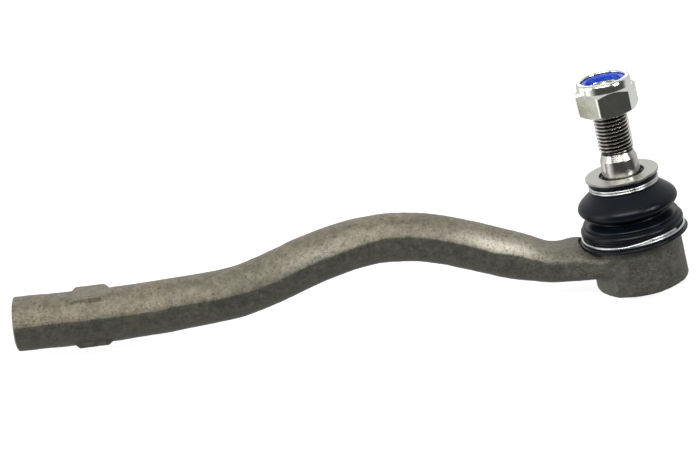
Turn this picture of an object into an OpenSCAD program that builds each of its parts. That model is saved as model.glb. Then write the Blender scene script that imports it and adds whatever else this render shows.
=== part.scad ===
// Tie rod end: forged gooseneck arm with a threaded rod socket at one end
// and a sealed ball joint at the other. +X runs along the rod socket's axis
// from its mouth towards the ball, +Z up in the plane of the arm and the
// stud, which leans 4 degrees from it. All sizes in millimetres.

/* [Arm] */
// Distance from the socket's mouth to the ball's centre
arm_reach = 254.4; // [250:0.2:258]
// Thickness of the arm, as a factor of its forged size
arm_scale = 1; // [0.95:0.01:1.05]
// Height of the gooseneck's crest, as a factor of its forged height
bend_scale = 1; // [0.8:0.01:1.1]
// Height of the flat side bands left by the forging die, as a factor
band_scale = 1; // [0.7:0.05:1.3]

/* [Rod socket] */
// Minor radius of the internal M16 x 1.5 thread
socket_r = 7.19; // [7.1:0.01:7.3]
// Depth of the threaded part of the socket
socket_depth = 45; // [40:1:50]
// Size across the two wrench flats
flats_across = 22; // [21.5:0.1:22]
// Length of the wrench flats
flats_length = 12.4; // [11:0.2:14]
// Width of the wrench flats
flats_width = 14.6; // [14:0.1:16]
// Distance of the wrench flats' middle from the socket's mouth
flats_at = 31.3; // [30:0.1:34]

/* [Housing] */
// Outside radius of the ball housing
housing_r = 18.6; // [18.2:0.1:19.5]
// Height of the housing's lower face below the ball's centre
housing_low = 14.3; // [14:0.1:15.5]
// Height of the housing's upper flange above the ball's centre
housing_top = 10.4; // [10:0.1:11]

/* [Ball stud] */
// Lean of the housing and stud towards the socket, in degrees
stud_lean = 4.8; // [3:0.05:7]
// Radius of the ball
ball_r = 11; // [10.9:0.05:11]
// Radius of the stud's neck
neck_r = 6; // [5.5:0.1:6.2]
// Radius of the taper where the steel ring sits
taper_r = 7.75; // [7.6:0.05:7.9]
// Height of the taper's upper end
taper_top = 39.1; // [38.5:0.1:39.5]
// Major radius of the M14 x 1.5 thread
thread_r = 7; // [6.9:0.01:7]
// Height of the stud's end
stud_end = 66.3; // [65.5:0.1:66.9]

/* [Lock nut] */
// Size across the nut's flats
nut_af = 22; // [21.5:0.1:22]
// Height of the nut's lower face
nut_low = 58.8; // [58:0.1:60]
// Overall height of the nut
nut_height = 13.7; // [13.5:0.1:14]

/* [Hidden] */
$fn = 64;

steel_dark = [0.33, 0.31, 0.28];
steel_bright = [0.72, 0.71, 0.69];
zinc = [0.82, 0.84, 0.82];
rubber = [0.06, 0.07, 0.09];

// Heights shared by the housing and what it holds
plate_low = -13.2;
plate_top = -11.15;
bore_r = 13.55;
seat_top = 7.5;
shoulder_z = 5.35;

// Arm sections from the socket's mouth to the housing:
// [distance to the ball's centre, height, half height, half width, squareness,
//  upper and lower edge of the side bands]
sections = [
    [254.4, 0.35, 11.26, 11.26, 2, 2.05, 3.05], [242.59, 0, 11.21, 11.21, 2, 2.39, 3.04],
    [229.11, -0.3, 11.15, 11.15, 2, 2.47, 3.02], [216.47, -0.54, 11.06, 11.06, 2, 2.45, 3],
    [204.67, -0.3, 10.96, 10.96, 2, 2.34, 2.97], [194.65, 0.1, 10.87, 10.87, 2, 2.17, 2.96],
    [187.35, 0.44, 10.79, 10.79, 2, 2.46, 2.97], [180.95, 0.85, 10.73, 10.73, 2, 2.47, 3],
    [174.55, 1.23, 10.64, 10.64, 2, 2.37, 3.02],
    [168.14, 1.72, 10.54, 10.54, 2, 2.14, 3.06],
    [161.28, 2.74, 10.44, 10.44, 2, 1.81, 3.14],
    [154.45, 4.42, 10.41, 10.41, 2, 1.41, 3.24], [147.53, 6.6, 10.39, 10.39, 2, 0.9, 3.31],
    [140.6, 8.9, 10.37, 10.37, 2, 0.89, 3.33], [133.75, 11.3, 10.31, 10.31, 2, 0.97, 3.29],
    [126.86, 13.3, 10.24, 10.24, 2, 1.1, 3.22],
    [120.03, 15.04, 10.18, 10.18, 2, 1.24, 3.12], [113.33, 16.32, 10.07, 10.07, 2, 1.53, 3],
    [106.76, 17.09, 9.97, 9.97, 2, 2.2, 2.9], [100.14, 17.31, 9.89, 9.89, 2, 2.8, 2.82],
    [93.75, 16.97, 9.87, 9.87, 2, 3.1, 2.79], [87.3, 16.07, 9.86, 9.86, 2, 3.03, 2.78],
    [80.99, 14.67, 9.84, 9.84, 2, 2.88, 2.8], [74.73, 12.78, 9.83, 9.83, 2, 2.78, 2.83],
    [68.53, 10.59, 9.8, 9.8, 2, 2.75, 2.84], [62.3, 8.29, 9.76, 9.76, 2, 2.6, 2.83],
    [56.16, 5.82, 9.71, 9.71, 2, 2.44, 2.82], [50.3, 3.66, 9.56, 9.65, 2.05, 3, 3],
    [45.13, 1.74, 9.12, 9.71, 2.15, 3, 3], [40.55, 0.16, 8.33, 10.27, 2.3, 3, 3],
    [37.47, -0.78, 7.74, 10.77, 2.5, 3, 3], [33.23, -1.52, 7.15, 11.52, 2.8, 3, 3],
    [29.31, -1.79, 6.96, 12.23, 3, 3, 3], [24.43, -1.6, 7.2, 13.14, 3, 3, 3],
    [16.6, -2.65, 6.1, 14.65, 3, 3, 3], [4.8, -2.3, 6.4, 16.88, 3, 3, 3]];

count = len(sections);
arc_steps = 12;

// Point of a flattened round section at angle t
function bulge(t, a, b, p) = [
    b * sign(cos(t)) * pow(abs(cos(t)), 2 / p), a * sign(sin(t)) * pow(abs(sin(t)), 2 / p)];

// Angles around one section, with the side bands' corners at the ends of each arc
function corner(h, a, p) = asin(pow(band_scale * h / a, p / 2));
function ring(s) = let (a = s[2] * arm_scale, b = s[3] * arm_scale, p = s[4],
                        u = corner(s[5], a, p), l = corner(s[6], a, p)) concat(
    [for (i = [0:arc_steps]) bulge(u + (180 - 2 * u) * i / arc_steps, a, b, p)],
    [for (i = [0:arc_steps]) bulge(180 + l + (180 - 2 * l) * i / arc_steps, a, b, p)]);

// Heading of the centreline at section i
function heading(i) = i == 0 || i == count - 1 ? 0 : atan2(
    bend_scale * (sections[i + 1][1] - sections[i - 1][1]),
    sections[i - 1][0] - sections[i + 1][0]);

function placed(i) = let (s = sections[i], h = heading(i))
    [for (q = ring(s))
        [arm_reach - s[0] * arm_reach / 254.4 - q[1] * sin(h), q[0],
         s[1] * bend_scale + q[1] * cos(h)]];

// Forged arm with its neck, as one skin over the sections
module arm() {
    n = 2 * (arc_steps + 1);
    points = [for (i = [0:count - 1]) each placed(i)];
    sides = [for (i = [0:count - 2]) for (j = [0:n - 1]) let (k = (j + 1) % n)
        each [[i * n + j, (i + 1) * n + j, i * n + k],
              [i * n + k, (i + 1) * n + j, (i + 1) * n + k]]];
    polyhedron(points = points, convexity = 6, faces = concat(sides,
        [[for (j = [0:n - 1]) j]], [[for (j = [n - 1:-1:0]) (count - 1) * n + j]]));
}

// Puts what is drawn about Z on the stud's axis, with the ball's centre as its origin
module head() translate([arm_reach, 0, 0]) rotate([0, -stud_lean, 0]) children();

// Block that carries the two wrench flats
module flats() {
    h = flats_across / 2;
    l = flats_length / 2;
    translate([flats_at, flats_width / 2, -0.3]) rotate([90, 0, 0]) linear_extrude(height = flats_width)
        polygon([[-l - 2.3, -h + 3.2], [-l - 1.5, -h + 1.6], [-l, -h], [l, -h],
                 [l + 1.5, -h + 1.6], [l + 2.3, -h + 3.2], [l + 2.3, h - 3.2],
                 [l + 1.5, h - 1.6], [l, h], [-l, h], [-l - 1.5, h - 1.6], [-l - 2.3, h - 3.2]]);
}

module forging() color(steel_dark) {
    difference() {
        union() {
            arm();
            flats();
            head() rotate_extrude()
                polygon([[0, -housing_low], [housing_r - 0.7, -housing_low],
                         [housing_r, -housing_low + 0.7], [housing_r - 0.15, shoulder_z - 0.8],
                         [housing_r - 0.8, shoulder_z], [16.85, shoulder_z], [16.85, 8.95],
                         [17.6, 8.95], [17.6, housing_top - 0.4], [17.2, housing_top],
                         [0, housing_top]]);
        }
        // The bar is level with the flats along them
        for (side = [-1, 1])
            translate([flats_at - flats_length / 2, -9, -0.3 + (side > 0 ? flats_across / 2 : -flats_across / 2 - 2)])
                cube([flats_length, 18, 2]);
        // Ball cavity, closed from below by the plate
        head() rotate_extrude()
            polygon([[0, -housing_low - 1], [13, -housing_low - 1], [13, plate_low],
                     [14.85, plate_low], [14.85, plate_top], [bore_r, plate_top],
                     [bore_r, seat_top], [11.2, seat_top], [13, housing_top],
                     [13, housing_top + 1], [0, housing_top + 1]]);
        // Spot face for the boot's lip and the lower clamp
        head() rotate_extrude()
            polygon([[16.9, shoulder_z], [22.6, shoulder_z], [22.6, 14], [16.9, 14]]);
        // Threaded rod socket with its drill point
        translate([-1, 0, 0]) rotate([0, 90, 0]) cylinder(h = socket_depth + 1, r = socket_r);
        translate([socket_depth, 0, 0]) rotate([0, 90, 0])
            cylinder(h = 4.2, r1 = socket_r, r2 = 0);
    }
}

module ball_seat() color([0.86, 0.85, 0.78])
    head() difference() {
        rotate_extrude() polygon([[6, plate_top], [bore_r, plate_top], [bore_r, seat_top],
                                  [11.0, seat_top], [9.6, 4.7], [6, 0]]);
        sphere(r = ball_r + 0.03);
    }

module closure_plate() color(steel_dark)
    head() rotate_extrude()
        polygon([[0, -13.7], [9.6, -13.7], [10.2, plate_low], [14.85, plate_low],
                 [14.85, plate_top], [9.2, plate_top], [8.6, -11.65], [0, -11.65]]);

module ball_stud() color(steel_bright)
    head() union() {
        difference() {
            sphere(r = ball_r);
            translate([0, 0, -19.5]) cylinder(h = 10, r = 12);
        }
        rotate_extrude()
            polygon([[0, 4], [neck_r, 4], [neck_r, 15], [6.4, 16.2], [7.3, 18.2],
                     [8.4, 19.5], [taper_r - 0.05 * (taper_top - 32.5), taper_top],
                     [6.4, 41.4], [6.4, 41.7], [thread_r, 42.2],
                     [thread_r, stud_end - 0.9], [6.1, stud_end], [0, stud_end]]);
    }

module boot() color(rubber)
    head() rotate_extrude()
        polygon([[16.9, 5.4], [21.3, 5.5], [21.85, 6.1], [21.75, 6.8], [21.2, 7.15],
                 [19.9, 7.15], [19.9, 9.75], [20.4, 9.9], [20.75, 10.4], [20.7, 11.1],
                 [20.3, 11.8], [19.6, 12.3], [19.1, 12.6], [19.3, 12.95], [19.35, 13.4],
                 [18.9, 13.95], [17.6, 14.5], [16.1, 15.0], [15.4, 15.5], [15.35, 16.0],
                 [15.8, 16.5], [17.3, 17.1], [18.7, 17.7], [19.6, 18.5], [20.05, 19.4],
                 [20.1, 20.3], [19.8, 21.3], [19.1, 22.3], [18.1, 23.3], [16.6, 24.6],
                 [15.1, 25.9], [14.2, 26.7], [13.8, 27.2], [13.0, 27.35], [13.0, 29.75],
                 [13.8, 29.9], [14.1, 30.4], [14.0, 31.2], [13.4, 31.6], [8.6, 31.6],
                 [7.9, 31.0], [8.24, 24.4], [8.7, 23.9], [11.6, 23.9], [13.3, 23.3],
                 [15.6, 22.0], [17.3, 20.9], [17.9, 20.0], [17.6, 19.3], [16.5, 18.8],
                 [14.7, 18.1], [13.4, 17.1], [13.0, 15.9], [13.4, 14.7], [15.4, 13.4],
                 [16.9, 12.7], [17.9, 12.0], [18.3, 11.2], [18.0, 10.6], [17.7, 10.4],
                 [17.7, 8.9], [16.9, 8.9]]);

module lower_clamp() color(zinc)
    head() union() {
        translate([0, 0, 7.85]) rotate_extrude() translate([20.55, 0]) circle(r = 0.6);
        translate([0, 0, 8.95]) rotate([0, 0, -113]) rotate_extrude(angle = 75)
            translate([20.55, 0]) circle(r = 0.6);
    }

module upper_clamp() color(zinc)
    head() union() {
        translate([0, 0, 28.0]) rotate_extrude() translate([13.6, 0]) circle(r = 0.55);
        translate([0, 0, 29.0]) rotate_extrude() translate([13.6, 0]) circle(r = 0.55);
    }

module steel_ring() color(steel_bright)
    head() rotate_extrude()
        polygon([[9.2, 31.6], [14.6, 31.6], [14.75, 31.75], [14.75, 32.45],
                 [14.6, 32.6], [9.35, 32.6], [9.2, 32.45]]);

module lock_nut() color(zinc)
    head() difference() {
        union() {
            intersection() {
                translate([0, 0, nut_low]) rotate([0, 0, 13.7])
                    cylinder(h = 10.2, r = nut_af / 2 / cos(30), $fn = 6);
                rotate_extrude()
                    polygon([[0, nut_low], [10.6, nut_low], [12.9, nut_low + 1.25],
                             [12.9, nut_low + 8.6], [10.2, nut_low + 10.2], [0, nut_low + 10.2]]);
            }
            rotate_extrude()
                polygon([[0, nut_low + 8], [10.85, nut_low + 8], [10.85, nut_low + 12.6],
                         [10.5, nut_low + 13.4], [9.8, nut_low + nut_height],
                         [0, nut_low + nut_height]]);
        }
        // Thread bore, insert groove and crimped lip
        rotate_extrude()
            polygon([[0, nut_low - 1], [8.2, nut_low - 1], [8.2, nut_low], [7.05, nut_low + 1.1],
                     [7.05, nut_low + 10.25], [9, nut_low + 10.25], [9, nut_low + 12.6],
                     [8.3, nut_low + 13.1], [8.3, nut_low + 15], [0, nut_low + 15]]);
    }

module nylon_insert() color([0.05, 0.16, 0.62])
    head() rotate_extrude()
        polygon([[7.05, nut_low + 10.3], [8.95, nut_low + 10.3], [8.95, nut_low + 12.55],
                 [7.35, nut_low + 12.55], [7.05, nut_low + 12.2]]);

forging();
ball_seat();
closure_plate();
ball_stud();
boot();
lower_clamp();
upper_clamp();
steel_ring();
lock_nut();
nylon_insert();
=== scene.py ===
"""Looks for the tie rod end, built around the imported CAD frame. Metres, +Z along the stud, +X from the socket to the ball."""
import math

import bpy
import bmesh
import numpy as np
from mathutils import Matrix, Vector, noise


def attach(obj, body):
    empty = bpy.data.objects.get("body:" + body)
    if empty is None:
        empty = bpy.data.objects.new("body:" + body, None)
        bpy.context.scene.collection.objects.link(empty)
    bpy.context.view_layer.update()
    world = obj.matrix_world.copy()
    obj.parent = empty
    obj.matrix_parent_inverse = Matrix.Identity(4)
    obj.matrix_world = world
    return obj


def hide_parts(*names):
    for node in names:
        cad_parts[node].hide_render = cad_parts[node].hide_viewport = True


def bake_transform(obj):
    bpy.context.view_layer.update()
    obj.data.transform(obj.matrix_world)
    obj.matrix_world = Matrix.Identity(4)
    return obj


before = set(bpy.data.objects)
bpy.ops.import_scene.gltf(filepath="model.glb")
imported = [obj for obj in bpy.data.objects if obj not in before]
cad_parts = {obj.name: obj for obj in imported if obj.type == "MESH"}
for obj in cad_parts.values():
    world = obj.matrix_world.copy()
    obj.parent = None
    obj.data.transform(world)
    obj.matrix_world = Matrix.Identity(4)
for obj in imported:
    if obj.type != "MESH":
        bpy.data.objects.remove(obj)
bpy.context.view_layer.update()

MM = 0.001
L = 254.4          # ball centre, mm from the socket's mouth
LEAN = math.radians(4.8)
scene = bpy.context.scene


# The head's own frame: origin at the ball's centre, third axis along the stud
HEAD = np.array([[math.cos(LEAN), 0, -math.sin(LEAN)], [0, 1, 0], [math.sin(LEAN), 0, math.cos(LEAN)]])


def to_head(P):
    """Points in mm, from the part's frame to the head's own."""
    return (np.asarray(P, float) - [L, 0, 0]) @ HEAD


def from_head(P):
    """Points in mm, from the head's own frame to the part's."""
    return np.asarray(P, float) @ HEAD.T + [L, 0, 0]


def along_socket(P):
    """Points in mm, turned so that their third axis runs along the socket."""
    P = np.asarray(P, float)
    return np.stack([P[:, 2], P[:, 1], -P[:, 0]], 1)


# ---------------------------------------------------------------- helpers
def add_mesh(name, verts, faces, smooth=True):
    me = bpy.data.meshes.new(name)
    me.from_pydata([tuple(v) for v in verts], [], faces)
    me.validate()
    ob = bpy.data.objects.new(name, me)
    bpy.context.collection.objects.link(ob)
    bm = bmesh.new()
    bm.from_mesh(me)
    bmesh.ops.recalc_face_normals(bm, faces=bm.faces)
    for f in bm.faces:
        f.smooth = smooth
    bm.to_mesh(me)
    bm.free()
    return ob


def lathe(name, profile, n=128, closed=True, phase=0.0, tight=True, place=from_head):
    """Revolves (radius, height) points in mm about the stud's axis."""
    if tight:
        profile = supported(profile, closed)
    verts, rings = [], []
    for r, z in profile:
        if r < 1e-6:
            rings.append([len(verts)])
            verts.append((0, 0, z))
        else:
            rings.append(list(range(len(verts), len(verts) + n)))
            for i in range(n):
                a = phase + 2 * math.pi * i / n
                verts.append((r * math.cos(a), r * math.sin(a), z))
    faces = []
    pairs = list(zip(rings, rings[1:] + rings[:1])) if closed else list(zip(rings, rings[1:]))
    for a, b in pairs:
        if len(a) == 1 and len(b) == 1:
            continue
        for i in range(n):
            j = (i + 1) % n
            if len(a) == 1:
                faces.append((a[0], b[i], b[j]))
            elif len(b) == 1:
                faces.append((a[i], a[j], b[0]))
            else:
                faces.append((a[i], a[j], b[j], b[i]))
    return add_mesh(name, np.asarray(place(verts)) * MM, faces)


def supported(profile, closed=True):
    """Adds points close to the ends of each long stretch, so that its shading stays flat between tight corners."""
    out, n = [], len(profile)
    for i in range(n if closed else n - 1):
        p, q = np.array(profile[i], float), np.array(profile[(i + 1) % n], float)
        d = np.linalg.norm(q - p)
        out.append(tuple(p))
        if d > 0.7:
            out.append(tuple(p + (q - p) * 0.14 / d))
            out.append(tuple(q - (q - p) * 0.14 / d))
    if not closed:
        out.append(tuple(profile[-1]))
    return out


def rounded(points, radius, steps=3):
    """Replaces each corner of a closed outline by a small arc."""
    out, n = [], len(points)
    for i in range(n):
        p0, p, p1 = (np.array(points[(i + k) % n], float) for k in (-1, 0, 1))
        rad = radius[i] if isinstance(radius, (list, tuple)) else radius
        if rad <= 0 or (p[0] < 1e-6):
            out.append(tuple(p))
            continue
        d0, d1 = p0 - p, p1 - p
        l0, l1 = np.linalg.norm(d0), np.linalg.norm(d1)
        r = min(rad, 0.45 * l0, 0.45 * l1)
        a, b = p + d0 / l0 * r, p + d1 / l1 * r
        for k in range(steps + 1):
            t = k / steps
            out.append(tuple((1 - t) ** 2 * a + 2 * t * (1 - t) * p + t * t * b))
    return out


def catmull(points, per, closed=False):
    """Centripetal-like smooth curve through the points."""
    P = [np.array(p, float) for p in points]
    n = len(P)
    out = []
    for i in range(n if closed else n - 1):
        p0 = P[(i - 1) % n] if (closed or i > 0) else 2 * P[0] - P[1]
        p1, p2 = P[i], P[(i + 1) % n]
        p3 = P[(i + 2) % n] if (closed or i < n - 2) else 2 * P[-1] - P[-2]
        for k in range(per):
            t = k / per
            out.append(0.5 * ((2 * p1) + (-p0 + p2) * t + (2 * p0 - 5 * p1 + 4 * p2 - p3) * t * t
                              + (-p0 + 3 * p1 - 3 * p2 + p3) * t ** 3))
    if not closed:
        out.append(P[-1])
    return out


def apply_modifiers(ob):
    dg = bpy.context.evaluated_depsgraph_get()
    dg.update()
    me = bpy.data.meshes.new_from_object(ob.evaluated_get(dg), depsgraph=dg)
    old = ob.data
    ob.modifiers.clear()
    ob.data = me
    bpy.data.meshes.remove(old)
    return ob


def boolean(ob, other, operation, keep=False):
    m = ob.modifiers.new("b", "BOOLEAN")
    m.operation = operation
    m.solver = "EXACT"
    m.object = other
    apply_modifiers(ob)
    if not keep:
        bpy.data.objects.remove(other)
    return ob


def set_smooth(ob, angle=None):
    for p in ob.data.polygons:
        p.use_smooth = True
    if angle is not None:
        bm = bmesh.new()
        bm.from_mesh(ob.data)
        for e in bm.edges:
            if len(e.link_faces) == 2 and e.calc_face_angle(0) > math.radians(angle):
                e.smooth = False
        bm.to_mesh(ob.data)
        bm.free()


def sweep(name, path, radius, sides=16, closed=False, flat=1.0):
    """Round wire along a path in mm, with its ends capped."""
    P = [np.array(p, float) for p in path]
    n = len(P)
    verts, faces = [], []
    for i in range(n):
        t = P[min(i + 1, n - 1)] - P[max(i - 1, 0)]
        t /= np.linalg.norm(t)
        side = np.array([P[i][0], P[i][1], 0.0])
        side /= np.linalg.norm(side)
        side -= t * (side @ t)
        side /= np.linalg.norm(side)
        up = np.cross(t, side)
        for k in range(sides):
            a = 2 * math.pi * k / sides
            verts.append(tuple(P[i] + radius * (math.cos(a) * side + math.sin(a) * up * flat)))
    for i in range(n - 1):
        for k in range(sides):
            j = (k + 1) % sides
            faces.append((i * sides + k, i * sides + j, (i + 1) * sides + j, (i + 1) * sides + k))
    faces.append(tuple(range(sides)))
    faces.append(tuple((n - 1) * sides + k for k in range(sides)))
    return add_mesh(name, from_head(verts) * MM, faces)


# ---------------------------------------------------------------- arm centreline and sections
SECTIONS = [
    (254.4, 0.35, 11.26, 11.26, 2, 2.05, 3.05), (242.59, 0, 11.21, 11.21, 2, 2.39, 3.04),
    (229.11, -0.3, 11.15, 11.15, 2, 2.47, 3.02), (216.47, -0.54, 11.06, 11.06, 2, 2.45, 3),
    (204.67, -0.3, 10.96, 10.96, 2, 2.34, 2.97), (194.65, 0.1, 10.87, 10.87, 2, 2.17, 2.96),
    (187.35, 0.44, 10.79, 10.79, 2, 2.46, 2.97), (180.95, 0.85, 10.73, 10.73, 2, 2.47, 3),
    (174.55, 1.23, 10.64, 10.64, 2, 2.37, 3.02), (168.14, 1.72, 10.54, 10.54, 2, 2.14, 3.06),
    (161.28, 2.74, 10.44, 10.44, 2, 1.81, 3.14), (154.45, 4.42, 10.41, 10.41, 2, 1.41, 3.24),
    (147.53, 6.6, 10.39, 10.39, 2, 0.9, 3.31), (140.6, 8.9, 10.37, 10.37, 2, 0.89, 3.33),
    (133.75, 11.3, 10.31, 10.31, 2, 0.97, 3.29), (126.86, 13.3, 10.24, 10.24, 2, 1.1, 3.22),
    (120.03, 15.04, 10.18, 10.18, 2, 1.24, 3.12), (113.33, 16.32, 10.07, 10.07, 2, 1.53, 3),
    (106.76, 17.09, 9.97, 9.97, 2, 2.2, 2.9), (100.14, 17.31, 9.89, 9.89, 2, 2.8, 2.82),
    (93.75, 16.97, 9.87, 9.87, 2, 3.1, 2.79), (87.3, 16.07, 9.86, 9.86, 2, 3.03, 2.78),
    (80.99, 14.67, 9.84, 9.84, 2, 2.88, 2.8), (74.73, 12.78, 9.83, 9.83, 2, 2.78, 2.83),
    (68.53, 10.59, 9.8, 9.8, 2, 2.75, 2.84), (62.3, 8.29, 9.76, 9.76, 2, 2.6, 2.83),
    (56.16, 5.82, 9.71, 9.71, 2, 2.44, 2.82), (50.3, 3.66, 9.56, 9.65, 2.05, 3, 3),
    (45.13, 1.74, 9.12, 9.71, 2.15, 3, 3), (40.55, 0.16, 8.33, 10.27, 2.3, 3, 3),
    (37.47, -0.78, 7.74, 10.77, 2.5, 3, 3), (33.23, -1.52, 7.15, 11.52, 2.8, 3, 3),
    (29.31, -1.79, 6.96, 12.23, 3, 3, 3), (24.43, -1.6, 7.2, 13.14, 3, 3, 3),
    (16.6, -2.65, 6.1, 14.65, 3, 3, 3), (4.8, -2.3, 6.4, 16.88, 3, 3, 3)]
dense = np.array(catmull([(L - s[0],) + tuple(s[1:]) for s in SECTIONS], 5))
cx, cz = dense[:, 0], dense[:, 1]
slope = np.gradient(cz, cx)


def section_at(x):
    return [np.interp(x, cx, dense[:, k]) for k in (1, 5, 6)] + [np.interp(x, cx, slope)]


def local_coords(P):
    """Station x, height above the section's own middle, and its band's edges, for points in mm."""
    x = P[:, 0].copy()
    for _ in range(4):
        z, hu, hl, m = section_at(x)
        x = x + ((P[:, 0] - x) + (P[:, 2] - z) * m) / (1 + m * m)
        x = np.clip(x, 0, L)
    z, hu, hl, m = section_at(x)
    c = 1 / np.sqrt(1 + m * m)
    up = -(P[:, 0] - x) * m * c + (P[:, 2] - z) * c
    return x, up, hu, hl


def arm_mesh(n_arc=34, n_band=6):
    rows = []
    for x, z, a, b, p, hu, hl in dense:
        m = np.interp(x, cx, slope)
        h = math.atan(m)
        cu, cl = (math.asin((v / a) ** (p / 2)) for v in (hu, hl))
        ring = []

        def bulge(t):
            return (b * math.copysign(abs(math.cos(t)) ** (2 / p), math.cos(t)),
                    a * math.copysign(abs(math.sin(t)) ** (2 / p), math.sin(t)))
        for k in range(n_arc + 1):
            ring.append(bulge(cu + (math.pi - 2 * cu) * k / n_arc))
        y0, y1 = ring[-1], bulge(math.pi + cl)
        for k in range(1, n_band):
            ring.append((y0[0] + (y1[0] - y0[0]) * k / n_band, y0[1] + (y1[1] - y0[1]) * k / n_band))
        for k in range(n_arc + 1):
            ring.append(bulge(math.pi + cl + (math.pi - 2 * cl) * k / n_arc))
        y0, y1 = ring[-1], ring[0]
        for k in range(1, n_band):
            ring.append((y0[0] + (y1[0] - y0[0]) * k / n_band, y0[1] + (y1[1] - y0[1]) * k / n_band))
        rows.append([((x - q[1] * math.sin(h)) * MM, q[0] * MM, (z + q[1] * math.cos(h)) * MM) for q in ring])
    n = len(rows[0])
    verts = [v for r in rows for v in r]
    faces = [(i * n + j, i * n + (j + 1) % n, (i + 1) * n + (j + 1) % n, (i + 1) * n + j)
             for i in range(len(rows) - 1) for j in range(n)]
    faces.append(tuple(range(n)))
    faces.append(tuple((len(rows) - 1) * n + j for j in range(n)))
    return add_mesh("forged_body", verts, faces)


FLAT_X, FLAT_Z = 31.3, -0.3


def pad_mesh():
    h, l, w = 11.0, 6.2, 7.3
    outline = rounded([(-l - 2.3, -h + 3.2), (-l - 1.5, -h + 1.6), (-l, -h), (l, -h), (l + 1.5, -h + 1.6), (l + 2.3, -h + 3.2),
                       (l + 2.3, h - 3.2), (l + 1.5, h - 1.6), (l, h), (-l, h), (-l - 1.5, h - 1.6), (-l - 2.3, h - 3.2)],
                      0.6, 2)
    n = len(outline)
    rows = []
    for y, inset in ((-w, 0.45), (-w + 0.14, 0.14), (-w + 0.45, 0.0), (w - 0.45, 0.0), (w - 0.14, 0.14), (w, 0.45)):
        rows.append([((FLAT_X + q[0] * (l - inset) / l) * MM, y * MM, (FLAT_Z + q[1] * (h - inset) / h) * MM)
                     for q in outline])
    verts = [v for r in rows for v in r]
    faces = [(i * n + j, i * n + (j + 1) % n, (i + 1) * n + (j + 1) % n, (i + 1) * n + j)
             for i in range(len(rows) - 1) for j in range(n)]
    faces += [tuple(range(n)), tuple((len(rows) - 1) * n + j for j in range(n))]
    return add_mesh("flats_block", verts, faces)


def join(obs):
    bm = bmesh.new()
    for o in obs:
        bm.from_mesh(o.data)
    me = bpy.data.meshes.new(obs[0].name)
    bm.to_mesh(me)
    bm.free()
    obs[0].data = me
    for o in obs[1:]:
        bpy.data.objects.remove(o)
    return obs[0]


# ---------------------------------------------------------------- forged body
body = arm_mesh()
pads = pad_mesh()
shell = lathe("shell", rounded(
    [(0, -14.3), (18.6, -14.3), (18.45, 5.35), (16.85, 5.35), (16.85, 9.0), (17.55, 9.0), (17.55, 10.4), (0, 10.4)],
    [0, 0.9, 0.9, 0.2, 0.2, 0.2, 0.4, 0], 4), 160)
join([body, pads, shell])
m = body.modifiers.new("r", "REMESH")
m.mode = "VOXEL"
m.voxel_size = 0.00044
m.use_smooth_shade = True
apply_modifiers(body)

# Fillets: the skin relaxes where the neck runs into the housing and around the pads
bm = bmesh.new()
bm.from_mesh(body.data)
bm.verts.ensure_lookup_table()
co = np.array([v.co for v in bm.verts]) / MM
edges = np.array([[e.verts[0].index, e.verts[1].index] for e in bm.edges])
bm.free()
deg = np.bincount(edges.ravel(), minlength=len(co)).astype(float)


def relax(co, weight, rounds):
    for _ in range(rounds):
        acc = np.zeros_like(co)
        for k in range(3):
            acc[:, k] = (np.bincount(edges[:, 0], co[edges[:, 1], k], len(co))
                         + np.bincount(edges[:, 1], co[edges[:, 0], k], len(co)))
        co = co + weight[:, None] * (acc / deg[:, None] - co)
    return co


def taubin(co, weight, rounds):
    """Smooths without shrinking."""
    for _ in range(rounds):
        co = relax(co, 0.5 * weight, 1)
        co = relax(co, -0.52 * weight, 1)
    return co


ones = np.ones(len(co))
hd = to_head(co)
rad = np.hypot(hd[:, 0], hd[:, 1])
inside = (np.abs(co[:, 0] - FLAT_X) < 7.0) & (np.abs(co[:, 1]) < 6.2)
co[:, 2] = np.where(inside, FLAT_Z + np.clip(co[:, 2] - FLAT_Z, -11.0, 11.0), co[:, 2])
co = taubin(co, ones, 4)
edge = np.clip(1.6 - np.abs(np.abs(co[:, 1]) - 7.3) / 1.2, 0, 1) * (np.abs(co[:, 0] - FLAT_X) < 10.5) * (np.abs(co[:, 2] - FLAT_Z) > 6)
ends = np.clip(1.6 - np.abs(np.abs(co[:, 0] - FLAT_X) - 7.4) / 2.2, 0, 1) * (np.abs(co[:, 1]) < 9) * (np.abs(co[:, 2] - FLAT_Z) > 8)
co = relax(co, 0.5 * np.maximum(edge, ends), 3)
junction = np.clip(1 - np.abs(rad - 18.3) / 5.5, 0, 1) * np.clip((-11 - hd[:, 0]) / 4, 0, 1) * (hd[:, 2] < 5.8)
co = relax(co, 0.5 * junction, 26)
hd = to_head(co)
swell = np.clip(1.5 - np.abs(-hd[:, 0] - 29) / 8, 0, 1) * (hd[:, 2] > 2.0) * (np.hypot(hd[:, 0], hd[:, 1]) > 21.5)
co = relax(co, 0.5 * swell, 40)
body.data.vertices.foreach_set("co", (co * MM).ravel())
body.data.update()

cutter = lathe("cut_cavity", [(0, -15.5), (13.0, -15.5), (13.0, -13.2), (14.86, -13.2), (14.86, -11.15), (13.55, -11.15),
                              (13.55, 7.5), (11.2, 7.5), (13.0, 10.4), (13.0, 11.5), (0, 11.5)], 128)
boolean(body, cutter, "DIFFERENCE")
cutter = lathe("cut_spot_face", [(16.92, 5.36), (22.6, 5.36), (22.6, 14), (16.92, 14)], tight=False)
boolean(body, cutter, "DIFFERENCE")
cutter = lathe("cut_bore", [(0, -2), (9.6, -2), (9.6, -0.05), (8.35, 1.15), (8.35, 46.5), (6.9, 47.2), (0, 50.5)], 96, tight=False, place=along_socket)
boolean(body, cutter, "DIFFERENCE")

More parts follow.
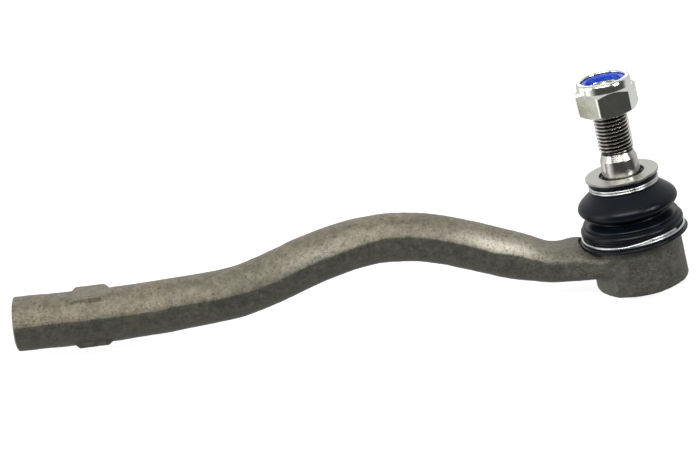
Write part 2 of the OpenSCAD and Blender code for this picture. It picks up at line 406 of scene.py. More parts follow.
# As-forged skin: slow hammer-like waves and shallow pits, kept off the machined faces
me = body.data
co = np.empty(len(me.vertices) * 3)
me.vertices.foreach_get("co", co)
co = co.reshape(-1, 3) / MM
nor = np.empty(len(me.vertices) * 3)
me.vertices.foreach_get("normal", nor)
nor = nor.reshape(-1, 3)
hd = to_head(co)
rad = np.hypot(hd[:, 0], hd[:, 1])
bore = np.hypot(co[:, 1], co[:, 2])
skin = np.ones(len(co))
skin[(co[:, 0] < 52) & (bore < 9.9)] = 0
skin[co[:, 0] < 0.4] = 0
skin[(rad < 18.0) & (hd[:, 2] > 4.6)] = 0
skin[(rad < 16.5) & (hd[:, 0] > -16.5)] = 0
disp = np.zeros(len(co))
for i in np.nonzero(skin)[0]:
    p = Vector(co[i])
    w = noise.noise(p * 0.13) * 0.16 + noise.noise(p * 0.42 + Vector((7, 3, 1))) * 0.07
    q = noise.noise(p * 1.15 + Vector((2, 9, 4)))
    q = -0.10 * max(0.0, q - 0.33) / 0.5
    disp[i] = w + q
co = co + nor * (disp * skin)[:, None]
me.vertices.foreach_set("co", (co * MM).ravel())
me.update()

# Masks the paint work uses: 1 on the scuffed upper skin, 0 on the die-trimmed band and below. The skin above the band
# gets a lighter tone, partly for its scuffs and partly as painted light from above; near the housing, upward-facing
# skin is lightened as painted light.
x, up, hu, hl = local_coords(co)
wob = np.array([noise.noise(Vector((p[0] * 0.16, 3.0, 1.0))) * 0.30 + noise.noise(Vector((p[0] * 0.7, 1.0, 8.0))) * 0.12
                for p in co])
upper = np.clip((up - hu - wob + 0.05) / 0.35 + 0.5, 0, 1)
lower = np.clip((-up - hl + wob) / 0.5 + 0.5, 0, 1)
far = np.clip((L - co[:, 0] - 24) / 20, 0, 1)
# painted light: skin near the housing is lighter where it faces up
lit_topside = np.clip(nor[:, 2] * 2.2 + 0.1, 0, 1)
upper_lit_mask = upper * far + (1 - far) * lit_topside * 0.25
low = lower * far
machined = 1 - skin
# painted highlight: a band just above the trimmed band on the front side only, strongest at two stations along the arm;
# it also concentrates the scuffs
sheen_band = np.exp(-((up - hu - 1.6) / 2.2) ** 2) * (co[:, 1] < 0)
along = 0.30 + 0.70 * np.clip(np.exp(-((co[:, 0] - 196) / 16) ** 2) + 0.8 * np.exp(-((co[:, 0] - 112) / 26) ** 2), 0, 1)
# painted highlight: a light sheen patch on the front flank above the band, mixed straight into the colour
painted_highlight = np.exp(-((up - hu - 2.4) / 2.4) ** 2) * (co[:, 1] < 0) * np.clip(
    np.exp(-((co[:, 0] - 200) / 13) ** 2) + 0.28 * np.exp(-((co[:, 0] - 128) / 16) ** 2), 0, 1) * upper
# real scuffs on the upper skin, made denser on the front band as a painted highlight
wear_and_sheen = np.clip(sheen_band * along * 0.9 + 0.12 * upper, 0, 1) * far + (1 - far) * 0.15
for name, data in (("upper", upper_lit_mask), ("lower", low), ("machined", machined), ("wear_and_sheen", wear_and_sheen), ("painted_highlight", painted_highlight)):
    at = me.attributes.new(name, "FLOAT", "POINT")
    at.data.foreach_set("value", data.astype(np.float32))
set_smooth(body, 38)


# ---------------------------------------------------------------- threads
FLANKS = (0.0, 0.07, 0.125, 0.21, 0.33, 0.425, 0.45, 0.5, 0.55, 0.575, 0.67, 0.79, 0.875, 0.93)


def helix_skin(z0, z1, pitch, radius, limit, n=96):
    """Helical rows of points from z0 to z1, mm. radius(f) is the thread's outline over one pitch, limit(z, r) its ends."""
    m = len(FLANKS)
    turns = int(math.ceil((z1 - z0) / pitch)) + 1
    verts, faces = [], []
    total = (turns + 1) * m
    for j in range(total):
        q, i = divmod(j, m)
        for k in range(n):
            z = z0 + pitch * (q - 1 + FLANKS[i] + k / n)
            z = min(max(z, z0), z1)
            r = limit(z, radius(FLANKS[i]))
            a = 2 * math.pi * k / n
            verts.append((r * math.cos(a), r * math.sin(a), z))
    for j in range(total - 1):
        for k in range(n - 1):
            faces.append((j * n + k, j * n + k + 1, (j + 1) * n + k + 1, (j + 1) * n + k))
    for j in range(total - m - 1):
        faces.append((j * n + n - 1, (j + m) * n, (j + m + 1) * n, (j + 1) * n + n - 1))
    return verts, faces


def ring_skin(profile, n=96):
    verts, faces = [], []
    for r, z in profile:
        verts += [(r * math.cos(2 * math.pi * k / n), r * math.sin(2 * math.pi * k / n), z) for k in range(n)]
    for i in range(len(profile) - 1):
        for k in range(n):
            j = (k + 1) % n
            faces.append((i * n + k, i * n + j, (i + 1) * n + j, (i + 1) * n + k))
    return verts, faces


def welded(name, parts, place):
    """Joins skins that share their end rings into one closed mesh."""
    verts, faces = [], []
    for v, f in parts:
        o = len(verts)
        verts += v
        faces += [tuple(i + o for i in q) for q in f]
    ob = add_mesh(name, np.asarray(place(verts)) * MM, faces)
    bm = bmesh.new()
    bm.from_mesh(ob.data)
    bmesh.ops.remove_doubles(bm, verts=bm.verts, dist=2e-6)
    bmesh.ops.dissolve_degenerate(bm, edges=bm.edges, dist=1e-7)
    bmesh.ops.recalc_face_normals(bm, faces=bm.faces)
    for f in bm.faces:
        f.smooth = True
    bm.to_mesh(ob.data)
    bm.free()
    return ob


def rise(f):
    """0 in the root of a thread, 1 on its crest."""
    t = abs(f - 0.5) * 2
    return min(1.0, max(0.0, (0.75 - t) / 0.62))


# Ball stud: ball, neck, taper and rolled thread in one skin
taper = lambda z: 7.75 - 0.05 * (z - 32.5)
END = 66.3


def stud_limit(z, r):
    if z < 43.3:                                   # run-out above the taper's chamfer
        r = 6.14 + (r - 6.14) * max(0.0, (z - 42.1) / 1.2)
    return min(r, 6.14 + (END - z) * 0.95)


ball = [(11 * math.cos(math.radians(t)), 11 * math.sin(math.radians(t))) for t in np.linspace(-59.7, 54.0, 40)]
low_cap = [(1e-4, -9.5), (5.2, -9.5)] + ball
low_cap += [(6.2, 9.2), (6.02, 9.9), (6.0, 12.0), (6.03, 15.0), (6.2, 16.0), (6.6, 16.9), (7.2, 17.8), (7.9, 18.6), (8.3, 19.3)]
low_cap += [(taper(z), z) for z in np.linspace(19.9, 38.85, 26)]
low_cap += supported([(taper(39.0), 39.0), (taper(39.1) - 0.04, 39.14), (6.58, 41.05), (6.5, 41.2), (6.45, 41.5), (6.3, 41.75), (6.14, 42.0)], False)
v, f = helix_skin(42.0, END, 1.5, lambda q: 6.14 + 0.86 * rise(q), stud_limit)
stud = welded("ball_stud_skin", [ring_skin(low_cap), (v, f), ring_skin([(6.14, END), (5.9, END + 0.12), (1.2, END + 0.12), (1.0, END - 0.5), (1e-4, END - 0.9)])], from_head)
set_smooth(stud, 36)
co = np.empty(len(stud.data.vertices) * 3)
stud.data.vertices.foreach_get("co", co)
hd = to_head(co.reshape(-1, 3) / MM)
# painted shade in the thread roots: 1 deep in each root, 0 on the crests
depth = np.where((hd[:, 2] > 41.7) & (hd[:, 2] < END - 0.3), np.clip((6.72 - np.hypot(hd[:, 0], hd[:, 1])) / 0.42, 0, 1), 0)
at = stud.data.attributes.new("groove", "FLOAT", "POINT")
at.data.foreach_set("value", depth.astype(np.float32))

# Socket thread liner
v, f = helix_skin(0.9, 44.5, 1.5, lambda q: 8.06 - 0.84 * rise(q), lambda z, r: max(r, 8.06 - (z - 0.9) * 0.8, 8.06 - (44.5 - z) * 0.8), 80)
liner = welded("socket_thread", [(v, f), ring_skin([(8.06, 0.9), (8.38, 0.9), (8.38, 44.5), (8.06, 44.5)], 80)], along_socket)
set_smooth(liner, 36)


# ---------------------------------------------------------------- lock nut
NUT = 58.8
hexa = []
R = 22 / 2 / math.cos(math.radians(30))
for k in range(6):
    a0 = math.radians(13.7 + 60 * k)
    c = np.array([R * math.cos(a0), R * math.sin(a0)])
    for s in (-1, 0, 1):
        t = np.array([-math.sin(a0), math.cos(a0)]) * s * 0.35
        hexa.append(tuple(c * (1 - 0.004 - 0.006 * abs(s)) + t))
verts = from_head([(p[0], p[1], z) for z in (NUT, NUT + 10.6) for p in hexa]) * MM
n = len(hexa)
nut = add_mesh("lock_nut_skin", verts, [(i, (i + 1) % n, n + (i + 1) % n, n + i) for i in range(n)]
               + [tuple(range(n)), tuple(range(n, 2 * n))], smooth=False)
dome = lathe("dome", [(0, NUT), (10.7, NUT), (13.2, NUT + 1.45), (13.2, NUT + 8.35), (10.55, NUT + 10.2), (10.5, NUT + 10.6), (0, NUT + 10.6)], 144, tight=False)
boolean(nut, dome, "INTERSECT")
hole = lathe("hole", [(0, NUT - 1), (8.3, NUT - 1), (8.3, NUT), (7.3, NUT + 0.9), (7.3, NUT + 12), (0, NUT + 12)], 144, tight=False)
boolean(nut, hole, "DIFFERENCE")
m = nut.modifiers.new("bev", "BEVEL")
m.width = 0.00011
m.segments = 2
m.limit_method = "ANGLE"
m.angle_limit = math.radians(22)
m.use_clamp_overlap = True
apply_modifiers(nut)
collar = lathe("collar", rounded([(7.3, NUT + 8), (10.9, NUT + 8), (10.9, NUT + 12.3), (10.55, NUT + 13.3), (9.9, NUT + 13.7), (9.2, NUT + 13.68),
                                  (8.85, NUT + 13.3), (8.8, NUT + 12.95), (9.0, NUT + 12.7), (9.0, NUT + 10.25), (7.3, NUT + 10.25)],
                                 [0, 0, 0.9, 0.6, 0.5, 0.4, 0.3, 0.1, 0, 0, 0], 4), 144)
join([nut, collar])
set_smooth(nut, 33)

v, f = helix_skin(NUT + 0.85, NUT + 10.2, 1.5, lambda q: max(6.42, 6.26 + 0.86 * rise(q)),
                  lambda z, r: max(r, 7.12 - (z - NUT - 0.85) * 0.8, 7.12 - (NUT + 10.2 - z) * 0.8))
# the nut's thread starts in step with the stud's
shift = ((42.0 - (NUT + 0.85)) / 1.5) % 1.0
turn = 2 * math.pi * shift
v = [(p[0] * math.cos(-turn) - p[1] * math.sin(-turn), p[0] * math.sin(-turn) + p[1] * math.cos(-turn), p[2]) for p in v]
w = [(p[0] * math.cos(-turn) - p[1] * math.sin(-turn), p[0] * math.sin(-turn) + p[1] * math.cos(-turn), p[2])
     for p in ring_skin([(7.12, NUT + 0.85), (7.36, NUT + 0.85), (7.36, NUT + 10.2), (7.12, NUT + 10.2)])[0]]
nut_thread = welded("lock_nut_thread", [(v, f), (w, ring_skin([(0, 0)] * 4)[1])], from_head)
set_smooth(nut_thread, 36)

insert = lathe("insert_skin", rounded([(7.06, NUT + 10.3), (8.95, NUT + 10.3), (8.95, NUT + 12.5), (8.55, NUT + 12.7), (7.5, NUT + 12.65), (7.06, NUT + 12.3)],
                                      [0.1, 0.1, 0.3, 0.3, 0.5, 0.4], 4), 128)


# ---------------------------------------------------------------- rubber boot
outer = [(16.95, 5.4), (19.4, 5.38), (21.25, 5.45), (21.85, 5.95), (21.75, 6.6), (20.9, 7.05), (20.0, 7.2),
         (19.9, 7.8), (19.9, 9.0), (20.0, 9.65), (20.45, 9.95), (20.75, 10.5), (20.7, 11.2), (20.3, 11.85),
         (19.65, 12.3), (19.2, 12.62), (19.32, 12.95), (19.4, 13.4), (19.0, 13.95), (17.8, 14.4), (16.3, 14.85),
         (15.5, 15.35), (15.4, 16.0), (15.9, 16.6), (17.3, 17.1), (18.6, 17.7), (19.55, 18.55), (20.05, 19.5),
         (20.1, 20.4), (19.8, 21.35), (19.1, 22.3), (18.1, 23.25), (16.7, 24.4), (15.3, 25.55), (14.3, 26.4),
         (13.75, 27.0), (13.3, 27.35), (13.05, 27.7), (13.0, 28.5), (13.05, 29.4), (13.4, 29.75), (13.85, 30.0),
         (14.05, 30.45), (14.0, 31.15), (13.6, 31.55), (12.6, 31.6)]
inner = [(8.9, 31.6), (8.2, 31.4), (7.95, 30.9), (8.02, 29.5), (8.12, 27.0), (8.24, 24.7), (8.6, 24.1),
         (9.8, 23.9), (11.6, 23.8), (13.3, 23.2), (15.6, 21.9), (17.2, 20.8), (17.8, 20.0), (17.5, 19.3), (16.5, 18.8),
         (14.7, 18.1), (13.5, 17.1), (13.1, 15.9), (13.6, 14.7), (15.4, 13.5), (16.9, 12.8), (17.9, 12.0), (18.25, 11.2),
         (18.0, 10.65), (17.7, 10.3), (17.65, 9.0), (16.95, 8.85), (16.92, 7.0)]
prof_o = catmull(outer, 6)
prof_i = catmull(inner, 4)


def boot_half(name, po, pi, cap, n=192):
    """po runs up outside, pi runs down inside; cap is not used."""
    pts = [tuple(p) for p in po] + [tuple(p) for p in pi]
    return lathe(name, pts, n)


SPLIT = 15.7
io = min(range(len(prof_o)), key=lambda i: abs(prof_o[i][1] - SPLIT) + (0 if prof_o[i][0] < 16.5 else 99))
ii = min(range(len(prof_i)), key=lambda i: abs(prof_i[i][1] - 15.9) + (0 if prof_i[i][0] > 12 else 99))
whole = [tuple(p) for p in prof_o] + [tuple(p) for p in prof_i]


def profile_normals(pts):
    n = len(pts)
    out = []
    for i in range(n):
        d = np.array(pts[(i + 1) % n]) - np.array(pts[i - 1])
        out.append((d[1], -d[0]))
    return [tuple(np.array(v) / (np.linalg.norm(v) or 1)) for v in out]


whole_n = profile_normals(whole)
BOOT_N = 192


def boot_piece(name, idx):
    """A part of the whole boot profile, given by profile indices, revolved with the whole boot's own normals."""
    pts = [whole[i] for i in idx]
    ob = lathe(name, pts, BOOT_N, tight=False)
    me = ob.data
    normals = []
    table = {}
    for k, i in enumerate(idx):
        table[k] = whole_n[i]
    for vi, v in enumerate(me.vertices):
        ring, j = divmod(vi, BOOT_N)
        r, z = table[ring]
        a = 2 * math.pi * j / BOOT_N
        normals.append(tuple(HEAD @ np.array((r * math.cos(a), r * math.sin(a), z))))
    me.normals_split_custom_set_from_vertices(normals)
    return ob


n_o = len(prof_o)
low_idx = list(range(0, io + 1)) + list(range(n_o + ii, len(whole)))
high_idx = list(range(io, n_o + ii + 1))
boot_low = boot_piece("boot_lower", low_idx)
boot_high = boot_piece("boot_upper", high_idx)


# Moulding seam: a thin raised line down one side of the boot, in two strips, one along each half
def seam(name, pts, az, half=0.16, proud=0.10):
    rows = []
    for i, (r, z) in enumerate(pts):
        a = pts[min(i + 1, len(pts) - 1)]
        b = pts[max(i - 1, 0)]
        d = np.array([a[0] - b[0], a[1] - b[1]])
        nr, nz = d[1], -d[0]
        ln = math.hypot(nr, nz) or 1
        nr, nz = nr / ln, nz / ln
        row = []
        for off, h in ((-half, -0.05), (-half * 0.45, proud), (half * 0.45, proud), (half, -0.05)):
            rr, zz = r + nr * h, z + nz * h
            t = math.radians(az) + off / r
            row.append(tuple(from_head((rr * math.cos(t), rr * math.sin(t), zz)) * MM))
        rows.append(row)
    verts = [v for r in rows for v in r]
    faces = [(i * 4 + k, i * 4 + (k + 1) % 4, (i + 1) * 4 + (k + 1) % 4, (i + 1) * 4 + k)
             for i in range(len(rows) - 1) for k in range(4)]
    faces += [(0, 1, 2, 3), tuple((len(rows) - 1) * 4 + k for k in range(4))]
    return add_mesh(name, verts, faces)


SEAM_AZ = -67.0
lo_pts = [tuple(p) for p in prof_o if 9.9 <= p[1]][:0] or [tuple(p) for i, p in enumerate(prof_o) if p[1] > 9.7 and i <= io]
hi_pts = [tuple(p) for i, p in enumerate(prof_o) if i >= io and p[1] < 26.9]
seam_low = seam("boot_seam_lower", lo_pts, SEAM_AZ)
seam_high = seam("boot_seam_upper", hi_pts, SEAM_AZ)
seam_low2 = seam("boot_seam_lower_back", lo_pts, SEAM_AZ + 180)
seam_high2 = seam("boot_seam_upper_back", hi_pts, SEAM_AZ + 180)

# ---------------------------------------------------------------- clamps and ring
END_AZ = -37.5     # where the lower wire's free end shows
path = []
for k in range(0, 241):
    t = k / 240
    a = math.radians(END_AZ - 432 * t)
    lift = 1.16 * max(0.0, 1 - t * 432 / 66.0)
    lift = 1.16 * (1 if t * 432 < 34 else max(0.0, 1 - (t * 432 - 34) / 34.0) ** 1.2)
    under = min(1.0, max(0.0, (t * 432 - 422) / 8.0))
    path.append(((20.52 - 0.4 * under) * math.cos(a), (20.52 - 0.4 * under) * math.sin(a), 7.85 - 0.0 * under + lift))
lower_wire = sweep("lower_clamp_wire", path, 0.58)
path = []
for k in range(0, 321):
    t = k / 320
    a = math.radians(150 - 700 * t)
    path.append((13.58 * math.cos(a), 13.58 * math.sin(a), 27.98 + 1.04 * min(1, max(0, (t * 700 - 330) / 60))))
upper_wire = sweep("upper_clamp_wire", path, 0.54)
ring = lathe("steel_ring_skin", rounded([(9.2, 31.62), (14.75, 31.62), (14.75, 32.6), (9.2, 32.6)], 0.14, 3), 192)

# Closure plate and seat keep their CAD shapes.

# ---------------------------------------------------------------- materials
def new_material(name):
    mat = bpy.data.materials.new(name)
    mat.use_nodes = True
    nt = mat.node_tree
    nt.nodes.clear()
    out = nt.nodes.new("ShaderNodeOutputMaterial")
    bsdf = nt.nodes.new("ShaderNodeBsdfPrincipled")
    nt.links.new(bsdf.outputs[0], out.inputs[0])
    return mat, nt, bsdf


def node(nt, kind, **values):
    n = nt.nodes.new(kind)
    for k, v in values.items():
        if k in n.inputs:
            n.inputs[k].default_value = v
        else:
            setattr(n, k, v)
    return n


def coords(nt, scale=(1, 1, 1), loc=(0, 0, 0)):
    tc = nt.nodes.new("ShaderNodeTexCoord")
    mp = nt.nodes.new("ShaderNodeMapping")
    mp.inputs["Scale"].default_value = scale
    mp.inputs["Location"].default_value = loc
    nt.links.new(tc.outputs["Object"], mp.inputs["Vector"])
    return mp.outputs[0]


def noise_tex(nt, vec, scale, detail=4, rough=0.55, **kw):
    n = nt.nodes.new("ShaderNodeTexNoise")
    n.inputs["Scale"].default_value = scale
    n.inputs["Detail"].default_value = detail
    n.inputs["Roughness"].default_value = rough
    nt.links.new(vec, n.inputs["Vector"])
    return n


def ramp(nt, src, stops):
    r = nt.nodes.new("ShaderNodeValToRGB")
    els = r.color_ramp.elements
    while len(els) < len(stops):
        els.new(0.5)
    for e, (p, c) in zip(els, stops):
        e.position = p
        e.color = (*c, 1) if len(c) == 3 else c
    nt.links.new(src, r.inputs[0])
    return r


def mix(nt, fac, a, b, mode="MIX"):
    m = nt.nodes.new("ShaderNodeMix")
    m.data_type = "RGBA"
    m.blend_type = mode
    for s, v in ((m.inputs[0], fac), (m.inputs[6], a), (m.inputs[7], b)):
        if hasattr(v, "links") or hasattr(v, "is_linked"):
            nt.links.new(v, s)
        elif isinstance(v, (int, float)):
            s.default_value = v
        else:
            s.default_value = (*v, 1)
    return m.outputs[2]


def math_node(nt, op, a, b=None, clamp=False):
    m = nt.nodes.new("ShaderNodeMath")
    m.operation = op
    m.use_clamp = clamp
    for s, v in ((m.inputs[0], a), (m.inputs[1], b)):
        if v is None:
            continue
        if hasattr(v, "is_linked"):
            nt.links.new(v, s)
        else:
            s.default_value = float(v)
    return m.outputs[0]


def bump(nt, bsdf, height, strength, distance, prev=None):
    b = nt.nodes.new("ShaderNodeBump")
    b.inputs["Strength"].default_value = strength
    b.inputs["Distance"].default_value = distance
    nt.links.new(height, b.inputs["Height"])
    if prev is not None:
        nt.links.new(prev, b.inputs["Normal"])
    nt.links.new(b.outputs[0], bsdf.inputs["Normal"])
    return b.outputs[0]


def attribute(nt, name):
    a = nt.nodes.new("ShaderNodeAttribute")
    a.attribute_name = name
    return a.outputs["Fac"]


# As-forged steel: oiled scale with lighter scuffed grain on top; the lighter top is partly painted light from above,
# and the front flank above the band carries a painted highlight
mat_forged, nt, bsdf = new_material("forged_steel")
vec = coords(nt)
big = noise_tex(nt, vec, 55, 4, 0.6)
mid = noise_tex(nt, vec, 300, 5, 0.7)
fine = noise_tex(nt, vec, 850, 4, 0.75)
speck = noise_tex(nt, vec, 1250, 3, 0.7)
base_dark = ramp(nt, mid.outputs[0], [(0.34, (0.052, 0.052, 0.042)), (0.50, (0.074, 0.074, 0.060)), (0.68, (0.104, 0.103, 0.085))])
base_light = ramp(nt, mid.outputs[0], [(0.34, (0.118, 0.108, 0.078)), (0.50, (0.165, 0.152, 0.112)), (0.68, (0.235, 0.221, 0.170))])
# lighter tone above the band, partly scuffed finish and partly painted light from above
col = mix(nt, attribute(nt, "upper"), base_dark.outputs[0], base_light.outputs[0])
lowmix = math_node(nt, "MULTIPLY", attribute(nt, "lower"), 0.15)
col = mix(nt, lowmix, col, base_light.outputs[0])
tone = ramp(nt, big.outputs[0], [(0.32, (0.86, 0.89, 0.85)), (0.5, (1, 1, 1)), (0.68, (1.12, 1.06, 0.97))])
col = mix(nt, 1.0, col, tone.outputs[0], "MULTIPLY")
rust = ramp(nt, noise_tex(nt, vec, 150, 5, 0.7).outputs[0], [(0.58, (0, 0, 0)), (0.74, (1, 1, 1))])
col = mix(nt, math_node(nt, "MULTIPLY", rust.outputs[0], 0.25), col, (0.15, 0.115, 0.075))
pits = ramp(nt, fine.outputs[0], [(0.36, (1, 1, 1)), (0.48, (0, 0, 0))])
col = mix(nt, math_node(nt, "MULTIPLY", pits.outputs[0], 0.62), col, (0.026, 0.025, 0.020))
scuff = ramp(nt, speck.outputs[0], [(0.57, (0, 0, 0)), (0.68, (1, 1, 1))])
scuff2 = ramp(nt, big.outputs[0], [(0.42, (0.15, 0.15, 0.15)), (0.62, (1, 1, 1))])
sc = math_node(nt, "MULTIPLY", scuff.outputs[0], scuff2.outputs[0])
# scuff speckles are real wear, thickened into a painted highlight on the front flank
scuffs_and_sheen = math_node(nt, "MULTIPLY", sc, attribute(nt, "wear_and_sheen"))
col = mix(nt, scuffs_and_sheen, col, (0.62, 0.60, 0.53))
# painted highlight on the front flank, broken up by fine noise
painted_gleam = ramp(nt, fine.outputs[0], [(0.34, (0.25, 0.25, 0.25)), (0.52, (1, 1, 1))])
painted_gleam = math_node(nt, "MULTIPLY", painted_gleam.outputs[0], attribute(nt, "painted_highlight"))
col = mix(nt, math_node(nt, "MULTIPLY", painted_gleam, 0.85), col, (0.60, 0.58, 0.50))
turned = (0.33, 0.32, 0.30)
col = mix(nt, attribute(nt, "machined"), col, turned)
nt.links.new(col, bsdf.inputs["Base Color"])
bsdf.inputs["Metallic"].default_value = 0.35
rr = ramp(nt, mid.outputs[0], [(0.3, (0.40, 0.40, 0.40)), (0.7, (0.58, 0.58, 0.58))])
nt.links.new(rr.outputs[0], bsdf.inputs["Roughness"])
h1 = bump(nt, bsdf, fine.outputs[0], 0.75, 0.00040)
h2 = bump(nt, bsdf, mid.outputs[0], 0.55, 0.00060, h1)


def metal(name, base, rough, spread=0.06, grain=900, bump_s=0.12, lines=None, dark=None, metallic=1.0, groove=False):
    mat, nt, bsdf = new_material(name)
    vec = coords(nt)
    a = noise_tex(nt, vec, grain * 0.12, 4, 0.6)
    b = noise_tex(nt, vec, grain, 4, 0.65)
    lo = tuple(c * (1 - spread * 2.2) for c in base)
    hi = tuple(min(1, c * (1 + spread)) for c in base)
    c = ramp(nt, a.outputs[0], [(0.32, lo), (0.66, hi)])
    col = c.outputs[0]
    if dark:
        d = ramp(nt, b.outputs[0], [(0.26, (1, 1, 1)), (0.36, (0, 0, 0))])
        col = mix(nt, math_node(nt, "MULTIPLY", d.outputs[0], dark), col, (0.05, 0.04, 0.03))
    # painted shade: thread roots darkened
    if groove:
        col = mix(nt, attribute(nt, "groove"), col, (0.030, 0.028, 0.026))
    nt.links.new(col, bsdf.inputs["Base Color"])
    bsdf.inputs["Metallic"].default_value = metallic
    r = ramp(nt, a.outputs[0], [(0.3, (rough * 0.8,) * 3), (0.7, (rough * 1.25,) * 3)])
    nt.links.new(r.outputs[0], bsdf.inputs["Roughness"])
    prev = bump(nt, bsdf, b.outputs[0], bump_s, 0.00005)
    if lines:
        axis, scale, strength = lines
        v2 = coords(nt, tuple(scale if k == axis else scale * 0.02 for k in range(3)))
        w = noise_tex(nt, v2, 1.0, 3, 0.6)
        bump(nt, bsdf, w.outputs[0], strength, 0.00004, prev)
    return mat


mat_stud = metal("stud_steel", (0.62, 0.60, 0.57), 0.21, 0.05, 1200, 0.05, None, 0.20, groove=True)
mat_ring = metal("ring_steel", (0.40, 0.40, 0.365), 0.40, 0.05, 1500, 0.16)
mat_zinc = metal("zinc_plate", (0.88, 0.91, 0.82), 0.15, 0.03, 1400, 0.10)
mat_wire = metal("clamp_wire", (0.58, 0.60, 0.59), 0.30, 0.03, 1500, 0.08)
mat_plate = metal("closure_steel", (0.27, 0.255, 0.225), 0.42, 0.08, 800, 0.25, None, 0.3, 0.8)
mat_socket = metal("cut_thread", (0.46, 0.45, 0.43), 0.30, 0.05, 1500, 0.12)

mat_rubber, nt, bsdf = new_material("boot_rubber")
vec = coords(nt)
a = noise_tex(nt, vec, 90, 5, 0.6)
b = noise_tex(nt, vec, 1900, 3, 0.6)
c = ramp(nt, a.outputs[0], [(0.3, (0.0012, 0.0024, 0.0050)), (0.7, (0.0028, 0.0045, 0.0080))])
nt.links.new(c.outputs[0], bsdf.inputs["Base Color"])
r = ramp(nt, a.outputs[0], [(0.3, (0.27,) * 3), (0.7, (0.36,) * 3)])
nt.links.new(r.outputs[0], bsdf.inputs["Roughness"])
bsdf.inputs["Specular IOR Level"].default_value = 0.20
bump(nt, bsdf, b.outputs[0], 0.10, 0.00004)

mat_nylon, nt, bsdf = new_material("blue_nylon")
vec = coords(nt)
a = noise_tex(nt, vec, 500, 4, 0.6)
c = ramp(nt, a.outputs[0], [(0.3, (0.004, 0.030, 0.36)), (0.7, (0.012, 0.070, 0.55))])
nt.links.new(c.outputs[0], bsdf.inputs["Base Color"])
bsdf.inputs["Roughness"].default_value = 0.32
bump(nt, bsdf, a.outputs[0], 0.15, 0.00005)

mat_seat, nt, bsdf = new_material("seat_acetal")
vec = coords(nt)
a = noise_tex(nt, vec, 300, 4, 0.6)
c = ramp(nt, a.outputs[0], [(0.3, (0.66, 0.64, 0.55)), (0.7, (0.74, 0.72, 0.64))])
nt.links.new(c.outputs[0], bsdf.inputs["Base Color"])
bsdf.inputs["Roughness"].default_value = 0.38
bump(nt, bsdf, a.outputs[0], 0.12, 0.00006)


def paint(ob, mat):
    ob.data.materials.clear()
    ob.data.materials.append(mat)


for ob, mat, slot_name in ((nut_thread, mat_zinc, "zinc_steel"), (body, mat_forged, "forged_steel"), (liner, mat_socket, "forged_steel"), (stud, mat_stud, "bright_steel"),
                           (nut, mat_zinc, "zinc_steel"), (insert, mat_nylon, "blue_nylon"), (ring, mat_ring, "bright_steel"),
                           (lower_wire, mat_wire, "wire_steel"), (upper_wire, mat_wire, "wire_steel"),
                           (boot_low, mat_rubber, "boot_rubber"), (boot_high, mat_rubber, "boot_rubber"),
                           (seam_low, mat_rubber, "boot_rubber"), (seam_high, mat_rubber, "boot_rubber"),
                           (seam_low2, mat_rubber, "boot_rubber"), (seam_high2, mat_rubber, "boot_rubber")):
    paint(ob, mat)
for name, mat in (("closure_plate", mat_plate), ("ball_seat", mat_seat)):
    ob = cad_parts[name]
    ob.data.materials.clear()
    ob.data.materials.append(mat)

# ---------------------------------------------------------------- who moves with what
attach(body, "arm"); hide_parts("forging")
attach(liner, "arm")
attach(lower_wire, "arm"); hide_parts("lower_clamp")
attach(upper_wire, "boot_collar"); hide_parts("upper_clamp")
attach(ring, "boot_collar"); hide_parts("steel_ring")
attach(stud, "stud"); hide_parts("ball_stud")
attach(nut, "nut"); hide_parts("lock_nut")
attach(nut_thread, "nut")
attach(insert, "insert"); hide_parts("nylon_insert")
for ob in (boot_low, seam_low, seam_low2):
    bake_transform(ob)
for ob in (boot_high, seam_high, seam_high2):
    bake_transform(ob)
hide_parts("boot")

# ---------------------------------------------------------------- stage, light, camera
bpy.ops.mesh.primitive_plane_add(size=6, location=(0.15, 0, -0.0162))
floor = bpy.context.object
floor.name = "floor"
mf, nt, bsdf = new_material("floor")
vec = coords(nt)
fn = noise_tex(nt, vec, 3, 2, 0.5)
fr = ramp(nt, fn.outputs[0], [(0.3, (0.30, 0.30, 0.30)), (0.7, (0.32, 0.32, 0.32))])
nt.links.new(fr.outputs[0], bsdf.inputs["Base Color"])
bsdf.inputs["Roughness"].default_value = 0.9
bsdf.inputs["Specular IOR Level"].default_value = 0.0
bsdf.inputs["Emission Color"].default_value = (1, 1, 1, 1)
bsdf.inputs["Emission Strength"].default_value = 0.88
floor.data.materials.append(mf)
floor.visible_glossy = False
floor.visible_diffuse = False
floor.visible_shadow = False

# The studio: white card to the left, behind, above and below, and a dark front
world = bpy.data.worlds.new("studio")
scene.world = world
world.use_nodes = True
wn = world.node_tree
wn.nodes.clear()
out = wn.nodes.new("ShaderNodeOutputWorld")
direction = wn.nodes.new("ShaderNodeTexCoord").outputs["Generated"]


def w_dot(v):
    n = wn.nodes.new("ShaderNodeVectorMath")
    n.operation = "DOT_PRODUCT"
    wn.links.new(direction, n.inputs[0])
    n.inputs[1].default_value = v
    return n.outputs["Value"]


def w_step(src, lo, hi):
    n = wn.nodes.new("ShaderNodeMapRange")
    n.interpolation_type = "SMOOTHSTEP"
    wn.links.new(src, n.inputs["Value"])
    n.inputs["From Min"].default_value = lo
    n.inputs["From Max"].default_value = hi
    return n.outputs["Result"]


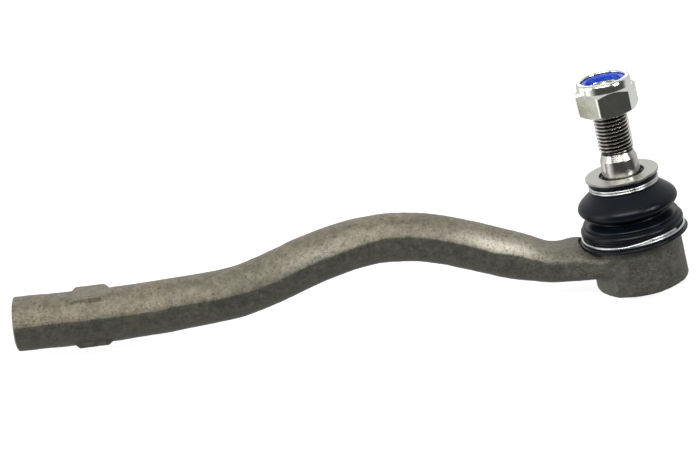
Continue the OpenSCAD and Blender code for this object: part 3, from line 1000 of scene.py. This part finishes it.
front = w_step(w_dot((0.38, -0.92, 0.0)), 0.05, 0.50)
above = w_step(w_dot((0, 0, 1)), 0.78, 0.95)
below = w_step(w_dot((0, 0, -1)), 0.62, 0.80)
card = math_node(wn, "MAXIMUM", above, below)
dark = math_node(wn, "MULTIPLY", front, math_node(wn, "SUBTRACT", 1.0, card))
level = math_node(wn, "SUBTRACT", 0.66, math_node(wn, "MULTIPLY", dark, 0.60))
side = w_step(w_dot((-0.94, 0.11, -0.32)), 0.80, 0.93)
level = math_node(wn, "ADD", level, math_node(wn, "MULTIPLY", side, 0.50))
bg = wn.nodes.new("ShaderNodeBackground")
bg.inputs[0].default_value = (1, 1, 1, 1)
wn.links.new(level, bg.inputs[1])
bgc = wn.nodes.new("ShaderNodeBackground")
bgc.inputs[0].default_value = (1, 1, 1, 1)
bgc.inputs[1].default_value = 1.0
lp = wn.nodes.new("ShaderNodeLightPath")
mx = wn.nodes.new("ShaderNodeMixShader")
wn.links.new(lp.outputs["Is Camera Ray"], mx.inputs[0])
wn.links.new(bg.outputs[0], mx.inputs[1])
wn.links.new(bgc.outputs[0], mx.inputs[2])
wn.links.new(mx.outputs[0], out.inputs[0])


def area(name, loc, target, size, power, colour=(1, 1, 1)):
    li = bpy.data.lights.new(name, "AREA")
    li.shape = "RECTANGLE"
    li.size, li.size_y = size
    li.energy = power
    li.color = colour
    ob = bpy.data.objects.new(name, li)
    bpy.context.collection.objects.link(ob)
    ob.location = loc
    ob.rotation_mode = "QUATERNION"
    ob.rotation_quaternion = (Vector(target) - Vector(loc)).to_track_quat("-Z", "Y")
    return ob


mid_pt = (0.14, 0, 0.01)
area("overhead", (0.10, -0.55, 0.52), mid_pt, (0.70, 0.22), 5.5, (1.0, 0.985, 0.96))
area("left", (-0.60, -0.30, 0.22), mid_pt, (0.4, 0.5), 1.6)
area("right", (0.75, -0.42, 0.30), (0.20, 0, 0.0), (0.25, 0.30), 2.6)
area("back", (0.16, 0.70, 0.42), mid_pt, (0.9, 0.35), 1.0)

right = Vector((0.989725, 0.025694, -0.140654))
up = Vector((0.124805, 0.324767, 0.937524))
fwd = Vector((-0.069767, 0.945445, -0.318224))
cam = bpy.data.cameras.new("camera")
camera = bpy.data.objects.new("camera", cam)
bpy.context.collection.objects.link(camera)
cam.lens = 133.766
cam.sensor_width = 36
cam.sensor_fit = "HORIZONTAL"
cam.clip_start, cam.clip_end = 0.01, 20
rot = Matrix((right, up, -fwd)).transposed()
camera.rotation_mode = "QUATERNION"
camera.rotation_quaternion = rot.to_quaternion()
camera.location = (0.213935, -0.99116, 0.355156)
scene.camera = camera
scene.view_settings.view_transform = "Standard"
scene.view_settings.look = "None"
